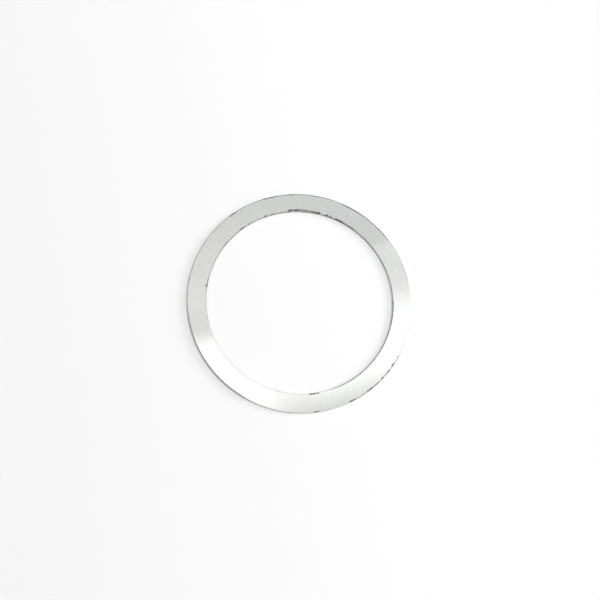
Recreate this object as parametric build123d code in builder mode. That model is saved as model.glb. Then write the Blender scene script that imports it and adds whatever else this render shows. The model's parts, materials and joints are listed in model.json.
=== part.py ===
"""Shim ring: a thin, flat spacing ring punched in one piece from bright cold-rolled steel strip.

It lies on its lower face. The origin is the centre of that face, and +Z runs up along the bore.
Lengths are in millimetres.

One stroke of a compound die cuts the bore and the rim, so both edges have the same four zones, from the
upper face down: the die roll, where the face bends over into the cut; the land, sheared to the finished
diameter; the breakout, where the metal tore and the wall leans into the ring; and a small bevel, left
where the burr was taken off.
"""

import os

from build123d import *

# The ring
bore_diameter = 100.0
face_width = 10.0  # from the bore to the rim
thickness = 1.5

# The zones of a cut edge, which grow with the strip that is cut
roll_depth = 0.10 * thickness
roll_width = 0.16 * thickness
land_height = 0.40 * thickness
breakout_lean = 0.05 * thickness
bevel = 0.04 * thickness

# Where the zones end, on the rim. The bore's edge is the mirror image of it.
rim_radius = bore_diameter / 2 + face_width
middle_radius = (bore_diameter + face_width) / 2
land_top = thickness - roll_depth
land_foot = land_top - land_height
torn_radius = rim_radius - breakout_lean

with BuildPart() as shim_ring:
    with BuildSketch(Plane.XZ):
        with BuildLine():
            upper_face = Line((middle_radius, thickness), (rim_radius - roll_width, thickness))
            die_roll = EllipticalCenterArc(
                (rim_radius - roll_width, land_top), roll_width, roll_depth, start_angle=0, arc_size=90
            )
            land = Line((rim_radius, land_top), (rim_radius, land_foot))
            breakout = Line(land @ 1, (torn_radius, bevel))
            deburred_corner = Line(breakout @ 1, (torn_radius - bevel, 0))
            lower_face = Line(deburred_corner @ 1, (middle_radius, 0))
            mirror(about=Plane.YZ.offset(middle_radius))
        make_face()
    revolve(axis=Axis.Z)

shim_ring.part.label = "shim_ring"

os.makedirs("parts", exist_ok=True)
export_step(shim_ring.part, "parts/shim_ring.step")
print(f"{shim_ring.part.label}: {len(shim_ring.faces())} faces, {shim_ring.part.volume:.1f} mm3")
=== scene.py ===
"""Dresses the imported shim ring: a thin punched ring of bright cold-rolled steel strip, on white paper.

The ring's mesh is made here much finer than the solid's, in the same form, so that its cut edges can carry
the waviness, the torn zone and the dark marks of the real ones. Lengths are in metres, unless a name ends
in _mm, and angles round the ring are in degrees from +X towards +Y.
"""

import json
import math

import bpy
from mathutils import Matrix, Vector, noise


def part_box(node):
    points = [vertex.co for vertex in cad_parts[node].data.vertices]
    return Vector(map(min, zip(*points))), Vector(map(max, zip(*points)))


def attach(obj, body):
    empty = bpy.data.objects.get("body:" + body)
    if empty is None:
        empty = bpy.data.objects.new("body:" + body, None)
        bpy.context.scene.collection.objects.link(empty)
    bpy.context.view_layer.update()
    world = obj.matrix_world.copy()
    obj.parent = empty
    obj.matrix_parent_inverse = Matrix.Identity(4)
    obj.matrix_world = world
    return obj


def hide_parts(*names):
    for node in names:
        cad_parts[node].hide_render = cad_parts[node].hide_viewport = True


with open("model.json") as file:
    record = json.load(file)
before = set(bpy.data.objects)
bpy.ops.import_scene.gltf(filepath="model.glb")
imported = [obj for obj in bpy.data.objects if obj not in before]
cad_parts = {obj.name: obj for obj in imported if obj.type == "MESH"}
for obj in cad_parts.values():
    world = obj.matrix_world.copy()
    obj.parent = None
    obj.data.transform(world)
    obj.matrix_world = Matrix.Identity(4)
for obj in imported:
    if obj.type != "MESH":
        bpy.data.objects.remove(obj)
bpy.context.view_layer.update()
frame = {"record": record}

MM = 0.001
NODE = "shim_ring"

# The ring, from the frame
lower_corner, upper_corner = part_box(NODE)
RIM_RADIUS = max(upper_corner.x, upper_corner.y)
THICKNESS = upper_corner.z - lower_corner.z
BORE_RADIUS = next(m["dims"]["r_mm"] for m in frame["record"]["mounts"] if m["name"] == "bore") * MM

# The two cut edges: radius, and seed of the noise that shapes them
EDGES = {"rim": (RIM_RADIUS, 0.1), "bore": (BORE_RADIUS, 0.5)}

# The zones of a cut edge, as shares of the thickness
ROLL_DEPTH = 0.10 * THICKNESS
ROLL_WIDTH = 0.16 * THICKNESS
LAND_HEIGHT = 0.40 * THICKNESS
BREAKOUT_LEAN = 0.05 * THICKNESS
BEVEL = 0.04 * THICKNESS

# How far the real edge strays from those zones. The bevel's straying is a share of the bevel
TEAR_WANDER = 0.16 * THICKNESS
TEAR_GRAIN = 0.020 * THICKNESS
BEVEL_WANDER = 0.6
NICK_DEPTH = 0.10 * MM

# How long the waves of that straying are. The tear's have a share and a shift of the seed too
TEAR_WAVES = ((6.0 * MM, 1.0, 0.0), (1.2 * MM, 0.6, 0.1))
BEVEL_WAVES = 3.0 * MM
GRAIN_WAVES = 0.4 * MM
NICK_WAVES = 0.5 * MM

# Heights on the wall: marks run out at the first, and films and painted shade begin to run out at the
# second
MARK_FOOT = 0.55 * THICKNESS
FILM_AND_SHADE_FOOT = 0.2 * THICKNESS

# The camera. The photograph is 600 pixels wide.
PICTURE_WIDTH = 600
SENSOR_MM = 36.0
FOCAL_PIXELS = 750
CAMERA_DISTANCE = 6.675 * RIM_RADIUS
CAMERA_TILT = 15.3
CAMERA_SIDE = 246.0
CAMERA_AIM = Vector((-0.27, 0.21, 0.0)) * MM
CAMERA_CLIP = (0.01, 50)

# A thin dark film lies on parts of the edges, down the wall and a little way onto the face. It is partly
# real oil and oxide, and partly painted shade on the edges that face away from the light. For each: the
# edge, where the film starts and ends, over how many degrees it comes and goes, how far it reaches onto the
# face in millimetres, and how strong it is
FILMS_AND_EDGE_SHADE = (
    ("rim", 16, 30, 10, 0.25, 0.45),
    ("rim", 40, 57, 9, 0.50, 1.0),
    ("rim", 57, 65, 4, 0.70, 1.0),
    ("rim", 72, 128, 8, 0.30, 0.90),
    ("rim", 76, 92, 4, 0.38, 1.0),
    ("rim", 130, 180, 12, 0.22, 0.80),
    ("rim", 192, 234, 15, 0.45, 1.0),
    ("rim", 298, 326, 4, 0.25, 0.8),
    ("bore", 100, 130, 8, 0.20, 0.55),
    ("bore", 130, 174, 8, 0.24, 0.60),
    ("bore", 174, 195, 3, 0.15, 0.45),
    ("bore", 296, 360, 16, 0.28, 0.95),
    ("bore", 0, 75, 1, 0.12, 0.70),
)

# Dark marks along the edges of the upper face, given in the same way. They are ragged, and the weaker a
# mark is, the more gaps it has
MARKS = (
    ("rim", 60.0, 63.5, 0.8, 0.63, 1.0),
    ("rim", 75.8, 78.0, 0.4, 0.42, 0.8),
    ("rim", 81.0, 82.5, 0.4, 0.49, 0.9),
    ("rim", 93.8, 97.5, 0.6, 0.70, 0.9),
    ("rim", 101.5, 109.5, 0.5, 0.63, 0.8),
    ("rim", 126.0, 129.3, 0.8, 0.63, 0.9),
    ("rim", 276.0, 278.0, 0.6, 0.63, 1.2),
    ("rim", 294.8, 297.6, 0.6, 0.65, 1.4),
    ("rim", 305.5, 308.5, 0.6, 0.72, 2.0),
    ("rim", 310.0, 313.0, 0.8, 0.56, 0.8),
    ("rim", 315.2, 316.0, 0.3, 0.75, 1.4),
    ("rim", 317.5, 321.0, 0.6, 0.63, 0.9),
    ("rim", 323.6, 325.0, 0.4, 0.84, 1.4),
    ("rim", 328.8, 329.6, 0.3, 0.56, 1.2),
    ("bore", 54.0, 60.5, 1.0, 0.42, 0.6),
    ("bore", 62.0, 67.0, 0.8, 0.63, 0.9),
    ("bore", 70.0, 73.5, 0.6, 0.70, 1.0),
    ("bore", 77.0, 81.0, 0.6, 0.84, 1.0),
    ("bore", 81.0, 85.5, 0.6, 0.90, 1.0),
    ("bore", 85.5, 97.0, 0.8, 1.15, 0.95),
    ("bore", 106.8, 108.3, 0.5, 0.49, 0.8),
    ("bore", 111.0, 112.6, 0.5, 0.70, 1.0),
    ("bore", 121.5, 124.0, 0.8, 0.49, 0.8),
    ("bore", 127.0, 129.5, 0.8, 0.56, 0.9),
    ("bore", 140.5, 146.0, 1.5, 0.42, 0.6),
    ("bore", 167.6, 169.4, 0.5, 0.42, 1.0),
    ("bore", 171.0, 172.9, 0.4, 0.60, 1.4),
    ("bore", 255.0, 256.0, 0.4, 0.42, 0.5),
    ("bore", 274.0, 279.8, 0.4, 0.63, 1.6),
)

# The shares of its reach between which a film, with its painted shade, or a mark fades out
REACH_FADE = (0.7, 1.3)

# Small helpers


def polar(angle, radius, height=0.0):
    """A point at that angle round the ring."""
    a = math.radians(angle)
    return Vector((radius * math.cos(a), radius * math.sin(a), height))


def link(name, data):
    made = bpy.data.objects.new(name, data)
    bpy.context.scene.collection.objects.link(made)
    return made


def smooth_step(value, start, end):
    t = min(max((value - start) / (end - start), 0.0), 1.0)
    return t * t * (3 - 2 * t)


def wander(angle, radius, length, seed):
    """Smooth noise from -1 to 1 along an edge, with waves about that long."""
    return noise.noise(polar(angle, radius, seed) / length)


# The ring's mesh

STEPS_ROUND = 1440
ROLL_STEPS = 6
LAND_STEPS = 3
TORN_STEPS = 6
FACE_STEPS = 10
LOWER_STEPS = 4
MARKED_WIDTH = 2.0 * MM
MARKED_STEPS = 7
SHARP_ANGLE = 30


def spread(start, end, steps):
    """Points from start to end, without the last."""
    return [tuple(a + (b - a) * i / steps for a, b in zip(start, end)) for i in range(steps)]


def dirt_and_shade(table, edge, angle, inset):
    """How strong a table's films and painted shade, or its marks, are there, by the distance from the edge.
    """
    strongest = 0.0
    for name, start, end, fade, reach_mm, strength in table:
        if name == edge and start - fade < angle < end + fade:
            along = smooth_step(angle, start - fade, start) * (1 - smooth_step(angle, end, end + fade))
            near, far = (share * reach_mm * MM for share in REACH_FADE)
            across = 1 - smooth_step(inset, near, far)
            strongest = max(strongest, strength * along * across)
    return strongest


def edge_outline(edge, angle):
    """A cut edge from the upper face to the lower one, as (inset, height, tear, film_and_shade, mark)."""
    radius, seed = EDGES[edge]
    top = THICKNESS
    points = []
    for inset, height in spread((MARKED_WIDTH, top), (ROLL_WIDTH, top), MARKED_STEPS):
        points.append((inset, height, 0.0))
    nick = NICK_DEPTH * dirt_and_shade(MARKS, edge, angle, 0.0) * abs(wander(angle, radius, NICK_WAVES, seed))
    for i in range(ROLL_STEPS):
        a = math.pi / 2 * i / ROLL_STEPS
        bend = 1 - math.sin(a)
        points.append((ROLL_WIDTH * bend + nick * (1 - bend), top - ROLL_DEPTH * (1 - math.cos(a)), 0.0))
    waves = sum(share * wander(angle, radius, length, seed + shift) for length, share, shift in TEAR_WAVES)
    foot = top - ROLL_DEPTH - LAND_HEIGHT + TEAR_WANDER * waves
    points += [(x, z, 0.0) for x, z in spread((nick, top - ROLL_DEPTH), (0.0, foot), LAND_STEPS)]
    worn = BEVEL * (1 + BEVEL_WANDER * wander(angle, radius, BEVEL_WAVES, seed + 0.2))
    for i, (x, z) in enumerate(spread((0.0, foot), (BREAKOUT_LEAN, worn), TORN_STEPS)):
        grain = 1 + wander(angle, radius, GRAIN_WAVES, seed + 0.3 + i)
        points.append((x + TEAR_GRAIN * grain * min(i, 1), z, 1.0))
    points += [(BREAKOUT_LEAN + TEAR_GRAIN, worn, 1.0), (BREAKOUT_LEAN + TEAR_GRAIN + worn, 0.0, 0.0)]
    outline = []
    for inset, height, torn in points:
        # marks run out down the land, and the film and painted shade down the torn zone
        marked = dirt_and_shade(MARKS, edge, angle, inset) * smooth_step(height, MARK_FOOT, top - ROLL_DEPTH)
        filmed_and_shaded = dirt_and_shade(FILMS_AND_EDGE_SHADE, edge, angle, inset) * smooth_step(height, 0.0, FILM_AND_SHADE_FOOT)
        outline.append((inset, height, torn, filmed_and_shaded, marked))
    return outline


def section(angle):
    """The whole section at an angle as (radius, height, tear, film_and_shade, mark), closed, upper face
    first.
    """
    rim = [(RIM_RADIUS - inset, *rest) for inset, *rest in edge_outline("rim", angle)]
    bore = [(BORE_RADIUS + inset, *rest) for inset, *rest in edge_outline("bore", angle)]
    upper = spread(bore[0], rim[0], FACE_STEPS)[1:]
    lower = spread(rim[-1], bore[-1], LOWER_STEPS)[1:]
    return [bore[0]] + upper + rim + lower + bore[:0:-1]


def ring_mesh():
    vertices = []
    values = {"tear": [], "film_and_shade": [], "mark": []}
    for i in range(STEPS_ROUND):
        angle = 360.0 * i / STEPS_ROUND
        for radius, height, *rest in section(angle):
            vertices.append(polar(angle, radius, height))
            for value, given in zip(values.values(), rest):
                value.append(given)
    count = len(vertices) // STEPS_ROUND
    faces = []
    for i in range(STEPS_ROUND):
        here, there = i * count, (i + 1) % STEPS_ROUND * count
        for j in range(count):
            k = (j + 1) % count
            faces.append((here + j, there + j, there + k, here + k))
    mesh = bpy.data.meshes.new("ring_surface")
    mesh.from_pydata(vertices, [], faces)
    for name, value in values.items():
        mesh.attributes.new(name, "FLOAT", "POINT").data.foreach_set("value", value)
    mesh.update()
    return mesh


# The steel


class Shader:
    """A material's nodes, made and joined in short lines."""

    def __init__(self, material):
        material.use_nodes = True
        self.nodes = material.node_tree.nodes
        self.links = material.node_tree.links
        self.principled = self.nodes.get("Principled BSDF")

    def node(self, kind, **inputs):
        made = self.nodes.new(kind)
        for name, value in inputs.items():
            self.put(made.inputs[name.replace("_", " ").title()], value)
        return made

    def put(self, socket, value):
        if isinstance(value, bpy.types.NodeSocket):
            self.links.new(value, socket)
        else:
            socket.default_value = value

    def math(self, operation, *values):
        made = self.nodes.new("ShaderNodeMath")
        made.operation = operation
        for socket, value in zip(made.inputs, values):
            self.put(socket, value)
        return made.outputs[0]

    def total(self, first, *others):
        """The sum of values, each given with its share."""
        result = self.math("MULTIPLY", *first)
        for pair in others:
            result = self.math("ADD", result, self.math("MULTIPLY", *pair))
        return result

    def step(self, value, start, end, low=0.0, high=1.0):
        """Goes smoothly from low to high as value goes from start to end."""
        made = self.nodes.new("ShaderNodeMapRange")
        made.interpolation_type = "SMOOTHSTEP"
        inputs = {"Value": value, "From Min": start, "From Max": end, "To Min": low, "To Max": high}
        for name, given in inputs.items():
            self.put(made.inputs[name], given)
        return made.outputs[0]

    def mix(self, factor, first, second, blend="MIX"):
        made = self.nodes.new("ShaderNodeMix")
        made.data_type = "RGBA"
        made.blend_type = blend
        for socket, given in zip((made.inputs[0], made.inputs[6], made.inputs[7]), (factor, first, second)):
            self.put(socket, given)
        return made.outputs[2]

    def place(self):
        """The point in the object's own space, as its X, Y and Z."""
        point = self.nodes.new("ShaderNodeTexCoord").outputs["Object"]
        return self.node("ShaderNodeSeparateXYZ", vector=point).outputs

    def noise(self, stretch, detail, roughness):
        """Noise from 0 to 1 in the object's own space, with so many waves to the metre along each axis."""
        point = self.nodes.new("ShaderNodeTexCoord").outputs["Object"]
        mapping = self.node("ShaderNodeMapping", vector=point, scale=stretch)
        settings = {"scale": 1.0, "detail": detail, "roughness": roughness}
        return self.node("ShaderNodeTexNoise", vector=mapping.outputs[0], **settings).outputs[0]

    def attribute(self, name):
        made = self.nodes.new("ShaderNodeAttribute")
        made.attribute_name = name
        return made.outputs["Fac"]

    def bump(self, height, distance, normal=None):
        made = self.node("ShaderNodeBump", height=height, distance=distance)
        if normal:
            self.links.new(normal, made.inputs["Normal"])
        return made.outputs[0]


BRIGHT = (0.745, 0.745, 0.745, 1)
DULL = (0.702, 0.702, 0.702, 1)
# painted reflection colours, green at one side of the steel and warm at the other
GREEN_REFLECTION = (0.980, 1.020, 0.994, 1)
WARM_REFLECTION = (1.008, 1.008, 0.984, 1)
# the film's colour, which also paints shade on the edges that face away from the light
FILM_AND_SHADE_GREY = (0.13, 0.13, 0.128, 1)
TORN_GREY = (0.34, 0.34, 0.335, 1)
STAIN = (0.10, 0.098, 0.095, 1)

# The steel's noises: waves to the metre along X, Y and Z, detail and roughness. The strip was rolled along
# Y, which left fine streaks that way
STREAKS = ((2600, 90, 90), 3.0, 0.6)
HAIRLINES = ((9000, 260, 260), 2.0, 0.5)
CLOUDS = ((170, 110, 170), 4.0, 0.6)
MOTTLE = ((800, 360, 800), 3.0, 0.65)
GRAIN = ((5200, 5200, 5200), 3.0, 0.7)
PATCHES = ((1100, 1100, 1100), 3.0, 0.7)
DRIFT = ((45, 45, 45), 2.0, 0.5)

# Smooth steps on them and on the mesh's values: where each starts and ends, and for some what it goes from
# and to
TEAR_STEP = (0.4, 0.9)
FILM_AND_SHADE_PATCHES = (0.2, 0.6, 0.7, 1.0)
MARK_PATCHES = (0.3, 0.6)
MARK_GRAIN = (0.25, 0.6, 0.6, 1.0)
MARK_STEP = (0.15, 0.40)
SHADE_STEP = (0.35, 0.65)
REFLECTION_STEP = (0.015, 0.135)
STREAK_ROUGHNESS = (0.3, 0.7, 0.045, 0.065)
CLOUD_ROUGHNESS = (0.3, 0.7, -0.005, 0.005)

# The shares of the clouds, streaks and mottling in the shade, and of Y and the drift in the painted
# reflected colour
CLOUD_SHARE = 0.3
STREAK_SHARE = 0.2
MOTTLE_SHARE = 0.5
REFLECTION_SLANT = 0.4
REFLECTION_DRIFT = 0.15

# What covers the bright steel, and how high the reliefs are
TORN_ROUGHNESS = 0.5
FILM_AND_SHADE_ROUGHNESS = 0.35
STAIN_ROUGHNESS = 0.55
STAIN_METAL = 0.25
STREAK_RELIEF = 0.5e-6
HAIRLINE_RELIEF = 0.12e-6
GRAIN_RELIEF = 15e-6


def make_steel():
    material = bpy.data.materials.new("cold_rolled_steel")
    shader = Shader(material)
    surface = shader.principled.inputs
    streaks = shader.noise(*STREAKS)
    hairlines = shader.noise(*HAIRLINES)
    clouds = shader.noise(*CLOUDS)
    mottle = shader.noise(*MOTTLE)
    grain = shader.noise(*GRAIN)
    patches = shader.noise(*PATCHES)
    drift = shader.noise(*DRIFT)

    torn = shader.step(shader.attribute("tear"), *TEAR_STEP)
    # the film's mask, which also paints shade on the edges that face away from the light
    filmed_and_shaded = shader.math("MULTIPLY", shader.attribute("film_and_shade"), shader.step(patches, *FILM_AND_SHADE_PATCHES))
    gaps = shader.math("MULTIPLY", shader.step(patches, *MARK_PATCHES), shader.step(grain, *MARK_GRAIN))
    stained = shader.step(shader.math("MULTIPLY", shader.attribute("mark"), gaps), *MARK_STEP)

    shade = shader.total((clouds, CLOUD_SHARE), (streaks, STREAK_SHARE), (mottle, MOTTLE_SHARE))
    # painted reflection: the steel's colour goes from slightly green at one side to slightly warm at the
    # other
    x, y, _ = shader.place()
    across = shader.total((x, 1.0), (y, REFLECTION_SLANT), (drift, REFLECTION_DRIFT))
    reflection_tint = shader.mix(shader.step(across, *REFLECTION_STEP), WARM_REFLECTION, GREEN_REFLECTION)
    steel = shader.mix(1.0, shader.mix(shader.step(shade, *SHADE_STEP), DULL, BRIGHT), reflection_tint, "MULTIPLY")
    cut = shader.mix(filmed_and_shaded, shader.mix(torn, steel, TORN_GREY), FILM_AND_SHADE_GREY)
    shader.put(surface["Base Color"], shader.mix(stained, cut, STAIN))

    rough = shader.step(streaks, *STREAK_ROUGHNESS)
    rough = shader.math("ADD", rough, shader.step(clouds, *CLOUD_ROUGHNESS))
    rough = shader.step(torn, 0, 1, rough, TORN_ROUGHNESS)
    rough = shader.step(filmed_and_shaded, 0, 1, rough, FILM_AND_SHADE_ROUGHNESS)
    shader.put(surface["Roughness"], shader.step(stained, 0, 1, rough, STAIN_ROUGHNESS))
    shader.put(surface["Metallic"], shader.step(stained, 0, 1, 1.0, STAIN_METAL))

    relief = shader.bump(streaks, STREAK_RELIEF)
    relief = shader.bump(hairlines, HAIRLINE_RELIEF, relief)
    broken = shader.math("MULTIPLY", grain, shader.math("MAXIMUM", torn, stained))
    shader.put(surface["Normal"], shader.bump(broken, GRAIN_RELIEF, relief))
    return material


def make_ring():
    mesh = ring_mesh()
    ring = link("ring", mesh)
    ring.data.materials.append(make_steel())
    for polygon in mesh.polygons:
        polygon.use_smooth = True
    mesh.set_sharp_from_angle(angle=math.radians(SHARP_ANGLE))
    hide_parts(NODE)
    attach(ring, "root")


# The stage

PAPER = (0.86, 0.86, 0.86, 1)
PAPER_ROUGHNESS = 0.9
FLOOR_REACH = 6
BACKDROP_RADIUS = 5.5
BACKDROP_HEIGHT = 6
SKY_LIGHT = 0.13
CEILING_LIGHT = 0.85
CEILING_REACH = 4

# A long soft light overhead, from left to right, made of three suns: the angle round the ring and the rise
# of each. How far off they stand makes no difference
OVERHEAD = ((188, 76), (8, 84), (8, 62))
OVERHEAD_WIDTH = 25.0
OVERHEAD_LIGHT = 0.908
OVERHEAD_DISTANCE = 2.0

# A low strip lamp along the paper's right side, which fades across the paper: its angle round the ring,
# rise above the paper, distance, length and height, beam in degrees and power in watts
STRIP = {"angle": 12, "rise": 18, "distance": 0.47, "size": (1.3, 0.16), "beam": 40, "power": 0.55}

# Soft light panels above the ring, seen only in its surface. They are turned like a window that isn't
# square to the ring, about the point that a mirror at the ring's centre would show to the camera. For each:
# its sides across and along from that point, the width of its soft edge at each of those four sides, and
# the light that it adds
PANEL_HEIGHT = 1.0
PANEL_GAP = 0.01
PANEL_TURN = 17.0
PANELS = {
    "left_panel": ((-0.70, -0.01), (-0.235, 0.002), (0.10, 0.12), (0.08, 0.045), 0.62),
    "right_panel": ((-0.10, 0.70), (-0.235, -0.004), (0.10, 0.10), (0.08, 0.12), 0.62),
    "far_right_panel": ((0.08, 0.70), (-0.20, 0.072), (0.05, 0.10), (0.10, 0.01), 0.17),
    "left_glow": ((-0.70, 0.06), (-0.05, 0.260), (0.10, 0.10), (0.10, 0.24), 0.155),
}

# Cards that stand round the ring, seen only in its surface: where each starts and ends, and its light
CARD_RADIUS = 0.8
CARD_HEIGHT = 0.95
CARDS = {
    "pale_card": (-70, 45, 0.85),
    "grey_card": (45, 100, 0.70),
    "dark_card": (100, 265, 0.58),
    "near_grey_card": (265, 290, 0.70),
}
DEGREES_A_STEP = 5


def quad(name, x, y, z):
    mesh = bpy.data.meshes.new(name)
    corners = [(x[0], y[0], z), (x[1], y[0], z), (x[1], y[1], z), (x[0], y[1], z)]
    mesh.from_pydata(corners, [], [(0, 1, 2, 3)])
    return link(name, mesh)


def square(name, reach, z):
    return quad(name, (-reach, reach), (-reach, reach), z)


def wall(name, start, end, radius, height):
    """Part of an upright cylinder round the ring, from the paper up."""
    steps = max(round((end - start) / DEGREES_A_STEP), 1)
    points, faces = [], []
    for i in range(steps + 1):
        angle = start + (end - start) * i / steps
        points += [polar(angle, radius), polar(angle, radius, height)]
        if i:
            faces.append((2 * i - 2, 2 * i, 2 * i + 1, 2 * i - 1))
    mesh = bpy.data.meshes.new(name)
    mesh.from_pydata(points, [], faces)
    return link(name, mesh)


def shine(thing, strength):
    """Gives a thing a material that only shines, and returns its shader and its emission node."""
    material = bpy.data.materials.new(thing.name)
    shader = Shader(material)
    shader.nodes.remove(shader.principled)
    emission = shader.node("ShaderNodeEmission", strength=strength)
    shader.put(shader.nodes["Material Output"].inputs["Surface"], emission.outputs[0])
    thing.data.materials.append(material)
    return shader, emission


def seen_only_by(kind, thing):
    """A stage piece that only the camera sees, or only the ring's reflections."""
    thing.visible_camera = kind == "camera"
    thing.visible_glossy = kind == "glossy"
    thing.visible_diffuse = False
    thing.visible_shadow = False
    thing.visible_transmission = False
    thing.visible_volume_scatter = False


def make_floor():
    floor = square("floor", FLOOR_REACH, 0)
    material = bpy.data.materials.new("paper")
    shader = Shader(material)
    shader.put(shader.principled.inputs["Base Color"], PAPER)
    shader.put(shader.principled.inputs["Roughness"], PAPER_ROUGHNESS)
    shader.put(shader.principled.inputs["Specular IOR Level"], 0.0)
    floor.data.materials.append(material)
    # the backdrop is as light as the paper far from the strip lamp
    overhead = sum(math.sin(math.radians(rise)) for _, rise in OVERHEAD) * OVERHEAD_LIGHT / math.pi
    backdrop = wall("backdrop", 0, 360, BACKDROP_RADIUS, BACKDROP_HEIGHT)
    shine(backdrop, PAPER[0] * (SKY_LIGHT + overhead))
    seen_only_by("camera", backdrop)


def make_world():
    world = bpy.data.worlds.new("studio")
    world.use_nodes = True
    background = world.node_tree.nodes["Background"]
    background.inputs["Color"].default_value = (1, 1, 1, 1)
    background.inputs["Strength"].default_value = SKY_LIGHT
    bpy.context.scene.world = world


def aim(lamp, angle, rise, distance):
    """Sets a lamp at that angle and rise, facing the ring's centre. The ring doesn't mirror it."""
    e = math.radians(rise)
    back = polar(angle, math.cos(e), math.sin(e))
    lamp.location = back * distance
    lamp.rotation_mode = "QUATERNION"
    lamp.rotation_quaternion = back.to_track_quat("Z", "Y")
    lamp.visible_glossy = False


def make_overhead():
    for i, (angle, rise) in enumerate(OVERHEAD):
        data = bpy.data.lights.new(f"overhead_{i}", "SUN")
        data.angle = math.radians(OVERHEAD_WIDTH)
        data.energy = OVERHEAD_LIGHT
        aim(link(data.name, data), angle, rise, OVERHEAD_DISTANCE)


def make_strip(angle, rise, distance, size, beam, power):
    data = bpy.data.lights.new("strip", "AREA")
    data.shape = "RECTANGLE"
    data.size, data.size_y = size
    data.spread = math.radians(beam)
    data.energy = power
    aim(link("strip", data), angle, rise, distance)


def camera_back():
    """The direction from the ring to the camera."""
    tilt = math.radians(CAMERA_TILT)
    return math.sin(tilt) * polar(CAMERA_SIDE, 1.0) + Vector((0, 0, math.cos(tilt)))


def camera_place():
    return CAMERA_AIM + camera_back() * CAMERA_DISTANCE


def make_panel(name, height, across, along, soft_across, soft_along, strength):
    """A light panel that fades out towards its edges and lets through what is behind it."""
    panel = quad(name, across, along, 0)
    eye = camera_place()
    panel.location = (-eye.x * height / eye.z, -eye.y * height / eye.z, height)
    panel.rotation_euler.z = math.radians(PANEL_TURN)
    shader, emission = shine(panel, strength)
    fade = strength
    sides = zip(shader.place(), (across, along), (soft_across, soft_along))
    for value, (start, end), (start_width, end_width) in sides:
        fade = shader.math("MULTIPLY", fade, shader.step(value, start, start + start_width))
        fade = shader.math("MULTIPLY", fade, shader.step(value, end, end - end_width))
    shader.put(emission.inputs["Strength"], fade)
    both = shader.nodes.new("ShaderNodeAddShader")
    clear = shader.nodes.new("ShaderNodeBsdfTransparent")
    shader.put(both.inputs[0], emission.outputs[0])
    shader.put(both.inputs[1], clear.outputs[0])
    shader.put(shader.nodes["Material Output"].inputs["Surface"], both.outputs[0])
    seen_only_by("glossy", panel)


def make_reflections():
    """Panels at heights of their own, so that a ray meets each of them, with the ceiling over them all."""
    for i, (name, values) in enumerate(PANELS.items()):
        make_panel(name, PANEL_HEIGHT + i * PANEL_GAP, *values)
    ceiling = square("ceiling", CEILING_REACH, PANEL_HEIGHT + len(PANELS) * PANEL_GAP)
    shine(ceiling, CEILING_LIGHT)
    seen_only_by("glossy", ceiling)
    for name, (start, end, light) in CARDS.items():
        card = wall(name, start, end, CARD_RADIUS, CARD_HEIGHT)
        shine(card, light)
        seen_only_by("glossy", card)


def make_camera():
    back = camera_back()
    toward = polar(CAMERA_SIDE, 1.0)
    side = Vector((0, 0, 1)).cross(toward)
    downhill = side.cross(back).normalized()
    # the picture's right and top are the ring's X and Y, laid down in the picture's plane
    axes = Vector((1, 0, 0)), Vector((0, 1, 0))
    right, top = (v.dot(side) * side + v.dot(toward) * downhill for v in axes)
    data = bpy.data.cameras.new("camera")
    data.sensor_width = SENSOR_MM
    data.lens = FOCAL_PIXELS * SENSOR_MM / PICTURE_WIDTH
    data.clip_start, data.clip_end = CAMERA_CLIP
    camera = link("camera", data)
    turn = Matrix((right, top, back)).transposed().to_4x4()
    camera.matrix_world = Matrix.Translation(camera_place()) @ turn
    bpy.context.scene.camera = camera


bpy.context.scene.view_settings.view_transform = "Standard"
bpy.context.scene.view_settings.look = "None"

make_camera()
make_floor()
make_world()
make_overhead()
make_strip(**STRIP)
make_reflections()
make_ring()
